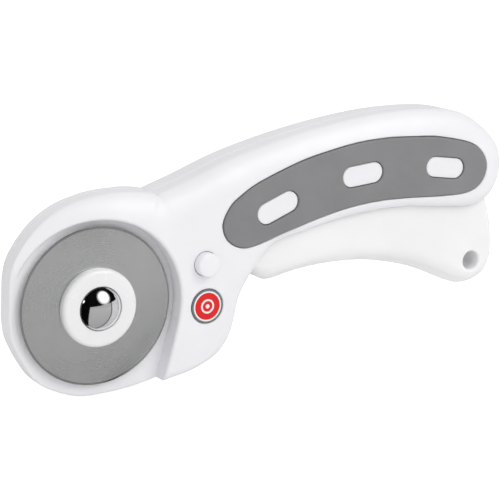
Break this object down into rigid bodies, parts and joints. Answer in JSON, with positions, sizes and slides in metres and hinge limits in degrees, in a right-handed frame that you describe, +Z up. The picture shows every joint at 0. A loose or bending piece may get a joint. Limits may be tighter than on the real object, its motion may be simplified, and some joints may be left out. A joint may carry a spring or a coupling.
{
  "type": "rotary cutter",
  "caption": "Squeeze-trigger rotary cutter: round blade in a thin guarded head on an arched two-shell handle with soft slotted inlays and a push-through lock.",
  "frame": {"origin": "centre of the blade at rest, on the parting plane of the two handle shells", "axes": "+X towards the handle's tail, -Y the side that carries the blade, +Z up with the cutter held for use"},
  "size_m": [0.1649, 0.0229, 0.0729],
  "materials": {
    "shell_white": "satin gloss, moulded",
    "lever_white": "satin gloss, moulded",
    "collar_white": "gloss, moulded",
    "button_white": "satin, moulded",
    "grip_grey": "soft matt, fine grain",
    "badge_red": "gloss with raised white rings",
    "nut_black": "fine matt grain, ribbed",
    "screw_steel": "zinc plated",
    "pin_steel": "ground",
    "arm_steel": "rolled sheet",
    "sleeve_steel": "turned",
    "washer_steel": "stamped",
    "spring_steel": "drawn wire",
    "blade_steel": "ground with a fine circular grain",
    "bolt_chrome": "mirror chrome",
    "insert_brass": "turned"
  },
  "bodies": {
    "handle": {"front_shell": "shell_white", "rear_shell": "shell_white", "front_grip_inlay": "grip_grey", "rear_grip_inlay": "grip_grey", "shell_screws": "screw_steel", "pivot_pin": "pin_steel", "badge": "badge_red", "return_spring": "spring_steel"},
    "lever": {"trigger_lever": "lever_white", "blade_arm": "arm_steel", "arm_rivets": "pin_steel", "axle_sleeve": "sleeve_steel", "blade_bush": "sleeve_steel", "blade_collar": "collar_white", "axle_bolt": "bolt_chrome", "slide_washer": "washer_steel"},
    "nut_carrier": {"spring_washer": "washer_steel"},
    "nut": {"thumb_nut": "nut_black", "nut_insert": "insert_brass"},
    "blade": {"blade": "blade_steel"},
    "lock": {"lock_button_front": "button_white", "lock_button_rear": "button_white"}
  },
  "joints": [
    {"name": "trigger_squeeze", "type": "hinge", "parent": "handle", "child": "lever", "pos_m": [0.0327, 0, -0.0037], "axis": [0, -1, 0], "range_deg": [0, 11], "stiffness_Nm_per_rad": 0.4, "deforming": ["return_spring"]},
    {"name": "blade_spin", "type": "hinge", "parent": "lever", "child": "blade", "pos_m": [0, 0, 0], "axis": [0, -1, 0], "continuous": true},
    {"name": "lock_slide", "type": "slide", "parent": "handle", "child": "lock", "axis": [0, 1, 0], "range_m": [0, 0.0025]},
    {"name": "nut_travel", "type": "slide", "parent": "lever", "child": "nut_carrier", "axis": [0, 1, 0], "range_m": [0, 0.0024]},
    {"name": "nut_turn", "type": "hinge", "parent": "nut_carrier", "child": "nut", "pos_m": [0, 0, 0], "axis": [0, 1, 0], "range_deg": [0, 1080]}
  ],
  "couplings": [
    {"joint": "nut_travel", "follows": "nut_turn", "m_per_rad": 0.00012732}
  ]
}
